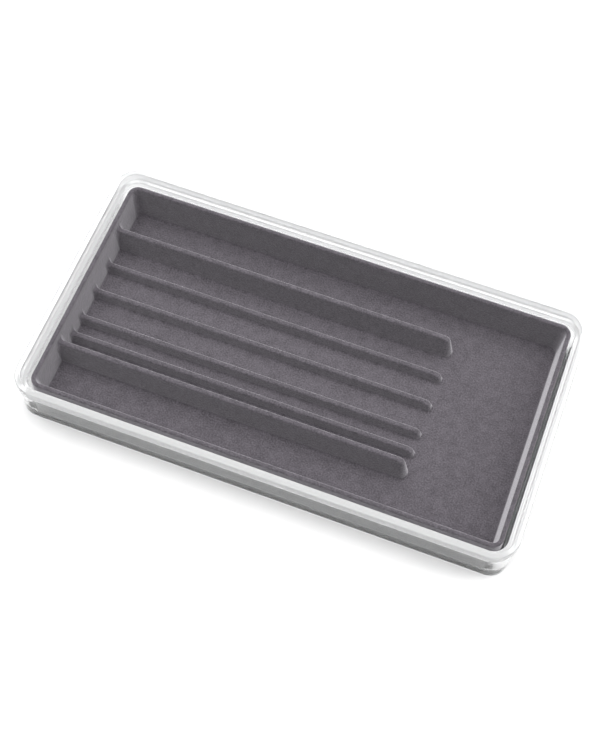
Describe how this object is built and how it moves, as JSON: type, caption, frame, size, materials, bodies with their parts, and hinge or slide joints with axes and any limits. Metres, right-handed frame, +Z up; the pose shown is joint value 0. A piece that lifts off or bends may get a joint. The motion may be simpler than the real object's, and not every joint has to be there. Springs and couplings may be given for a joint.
{
  "type": "jewelry tray",
  "caption": "Clear stackable drawer tray with a grey flocked liner that lifts out: long channels for necklaces and bracelets, narrow ring slots and an open bay for bangles.",
  "frame": {"origin": "middle of the tray's flat base, at the height of the surface it stands on", "axes": "+X along the long side towards the open bangle bay, +Y across the tray towards the compartment at the rear, +Z up out of the tray"},
  "size_m": [0.3556, 0.1968, 0.0381],
  "materials": {
    "clear_plastic": "clear, smooth and glossy moulded plastic",
    "grey_flock": "short grey flock over a formed plastic sheet, velvety and matt"
  },
  "bodies": {
    "tray": {"clear_tray": "clear_plastic"},
    "liner": {"flocked_liner": "grey_flock"}
  },
  "joints": [
    {"name": "liner_lift", "type": "slide", "parent": "tray", "child": "liner", "axis": [0, 0, 1], "range_m": [0, 0.045]}
  ]
}
